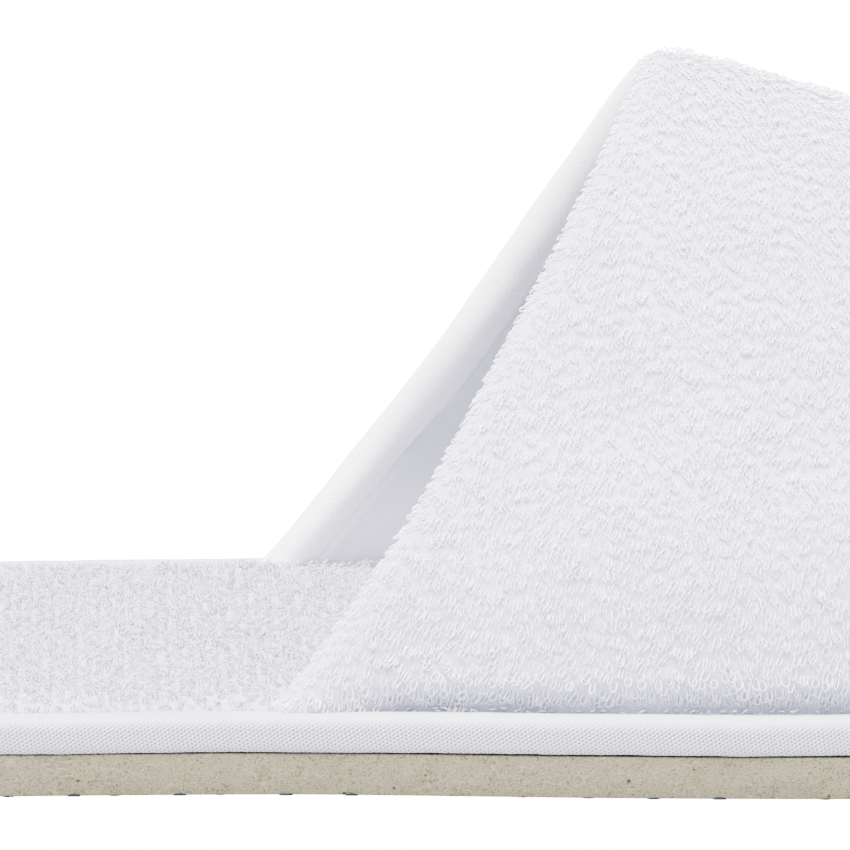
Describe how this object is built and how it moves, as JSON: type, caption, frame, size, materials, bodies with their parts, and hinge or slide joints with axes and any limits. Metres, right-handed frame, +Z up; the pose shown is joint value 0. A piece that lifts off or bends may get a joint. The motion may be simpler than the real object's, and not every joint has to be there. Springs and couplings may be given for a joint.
{
  "type": "spa slipper",
  "caption": "Closed-toe, open-back terry spa slipper with a bound padded insole and a foam outsole with a dotted grip; slips on either foot.",
  "frame": {"origin": "on the floor, under the middle of the slipper's length and width", "axes": "+X towards the toe, +Z up, +Y across the sole; the slipper is the same on both sides of the XZ plane"},
  "size_m": [0.286, 0.105, 0.0807],
  "materials": {
    "grip_rubber": "soft matt moulded dots, dark navy",
    "eva_foam": "fine-grained closed-cell foam, greige, with small pores",
    "backing_fleece": "plain non-woven backing board",
    "white_sponge": "open-cell sponge, hidden",
    "white_terry": "looped cotton terry, white",
    "white_tape": "fine diagonal twill tape, white",
    "white_lining": "smooth fine-ribbed knit, white",
    "white_thread": "white sewing thread"
  },
  "bodies": {
    "root": {"grip_layer": "grip_rubber", "outsole": "eva_foam", "insole_backing": "backing_fleece", "insole_padding": "white_sponge", "insole_terry": "white_terry", "edge_binding": "white_tape", "binding_thread": "white_thread", "upper_terry": "white_terry", "upper_padding": "white_sponge", "upper_lining": "white_lining", "throat_thread": "white_thread"}
  },
  "joints": []
}
